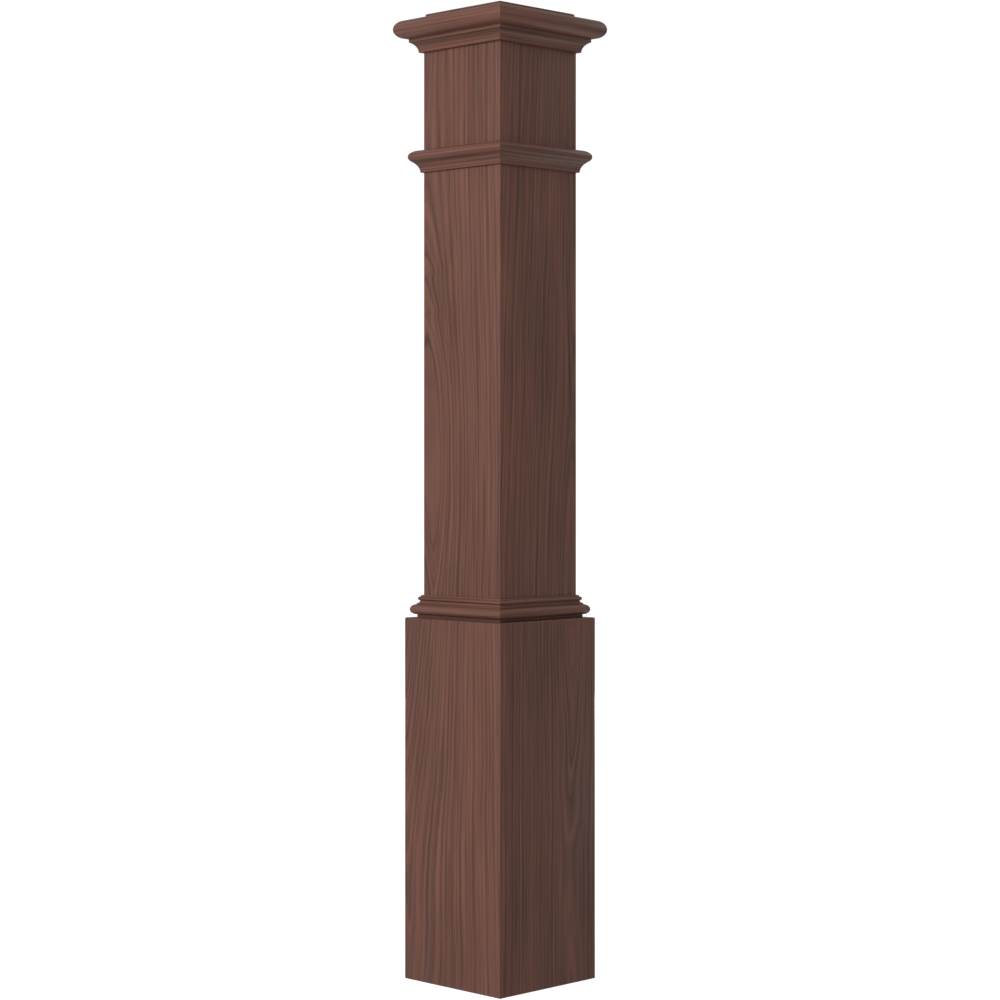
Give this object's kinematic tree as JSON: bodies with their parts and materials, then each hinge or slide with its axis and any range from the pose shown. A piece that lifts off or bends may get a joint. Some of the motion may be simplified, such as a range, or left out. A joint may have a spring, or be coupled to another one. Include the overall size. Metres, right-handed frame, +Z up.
{
  "type": "newel post",
  "caption": "Square box newel post of stained wood with a skirt at the foot, base moulding, collar and bullnosed cap.",
  "frame": {"origin": "middle of the post's footprint, on the floor it stands on", "axes": "+Z up the post; +X and +Y square to two neighbouring faces, with the front face towards -Y"},
  "size_m": [0.2144, 0.2144, 1.3631],
  "materials": {
    "board": "reddish brown stain under satin lacquer, grain upright",
    "moulding": "reddish brown stain under satin lacquer, grain along the length",
    "cap": "reddish brown stain under satin lacquer, grain along the length"
  },
  "bodies": {
    "root": {"shaft_board_front": "board", "shaft_board_right": "board", "shaft_board_back": "board", "shaft_board_left": "board", "skirt_board_front": "board", "skirt_board_right": "board", "skirt_board_back": "board", "skirt_board_left": "board", "base_moulding_front": "moulding", "base_moulding_right": "moulding", "base_moulding_back": "moulding", "base_moulding_left": "moulding", "collar_moulding_front": "moulding", "collar_moulding_right": "moulding", "collar_moulding_back": "moulding", "collar_moulding_left": "moulding", "cove_moulding_front": "moulding", "cove_moulding_right": "moulding", "cove_moulding_back": "moulding", "cove_moulding_left": "moulding", "cap_rail_front": "cap", "cap_rail_right": "cap", "cap_rail_back": "cap", "cap_rail_left": "cap", "cap_panel": "cap"}
  },
  "joints": []
}
